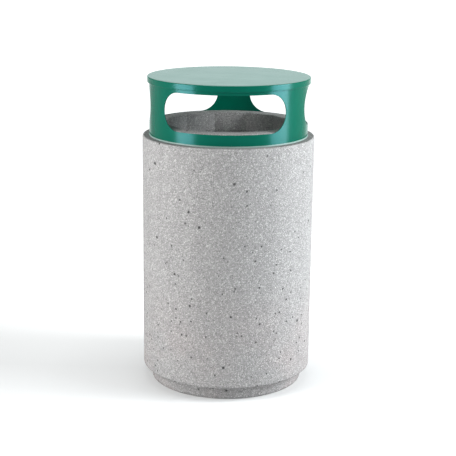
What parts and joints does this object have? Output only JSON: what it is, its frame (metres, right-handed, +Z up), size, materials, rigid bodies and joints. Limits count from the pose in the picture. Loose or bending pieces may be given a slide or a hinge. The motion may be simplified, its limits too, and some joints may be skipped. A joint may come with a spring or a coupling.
{
  "type": "litter bin",
  "caption": "Round cast-stone litter bin with a low sheet-steel hood: wide rounded throw-in openings under a flat cap, rear hinge, key lock and a lift-out liner.",
  "frame": {"origin": "middle of the drain hole's lower end, on the ground and on the body's axis", "axes": "+Z up along the body's axis; -Y is the front, the middle of the front throw-in opening; +Y is the hinge side; +X is the lock side"},
  "size_m": [0.4999, 0.5151, 0.905],
  "materials": {
    "concrete": "cast stone, lightly washed, fine light and dark grains",
    "green_coat": "semi-gloss powder coat",
    "edge_strip": "satin",
    "zinc": "hot-dip galvanised, dull",
    "stainless": "brushed",
    "black_plastic": "matt moulded"
  },
  "bodies": {
    "root": {"concrete_body": "concrete", "drain_sleeve": "black_plastic", "hinge_anchor_sockets": "zinc", "hinge_body_leaf": "stainless", "hinge_body_bolts": "stainless", "hinge_body_washers": "stainless", "hinge_pin": "stainless", "hinge_pin_clip": "stainless", "lock_keeper": "stainless", "lock_keeper_screws": "stainless"},
    "hood": {"hood_cap": "green_coat", "hood_top_ring": "green_coat", "hood_cap_nuts": "stainless", "hood_band": "green_coat", "hood_edge_trim": "edge_strip", "hinge_hood_leaf": "stainless", "hinge_hood_rivets": "stainless", "lock_housing": "stainless", "lock_gasket": "black_plastic", "lock_nut": "stainless"},
    "lock": {"lock_plug": "stainless", "lock_cam": "stainless", "lock_cam_screw": "stainless"},
    "liner": {"liner_shell": "zinc", "liner_base": "zinc", "liner_rim_wire": "zinc", "liner_ears": "zinc", "liner_ear_rivets": "zinc"},
    "bail": {"bail_handle": "zinc", "bail_grip": "black_plastic"}
  },
  "joints": [
    {"name": "hood_hinge", "type": "hinge", "parent": "root", "child": "hood", "pos_m": [0, 0.253, 0.742], "axis": [-1, 0, 0], "range_deg": [0, 100]},
    {"name": "lock_turn", "type": "hinge", "parent": "hood", "child": "lock", "pos_m": [0.2125, 0.05694, 0.7525], "axis": [-0.9659, -0.2588, 0], "range_deg": [0, 90]},
    {"name": "liner_lift", "type": "slide", "parent": "root", "child": "liner", "axis": [0, 0, 1], "range_m": [0, 0.18]},
    {"name": "bail_swing", "type": "hinge", "parent": "liner", "child": "bail", "pos_m": [0, 0, 0.6863], "axis": [-1, 0, 0], "range_deg": [0, 180]}
  ]
}
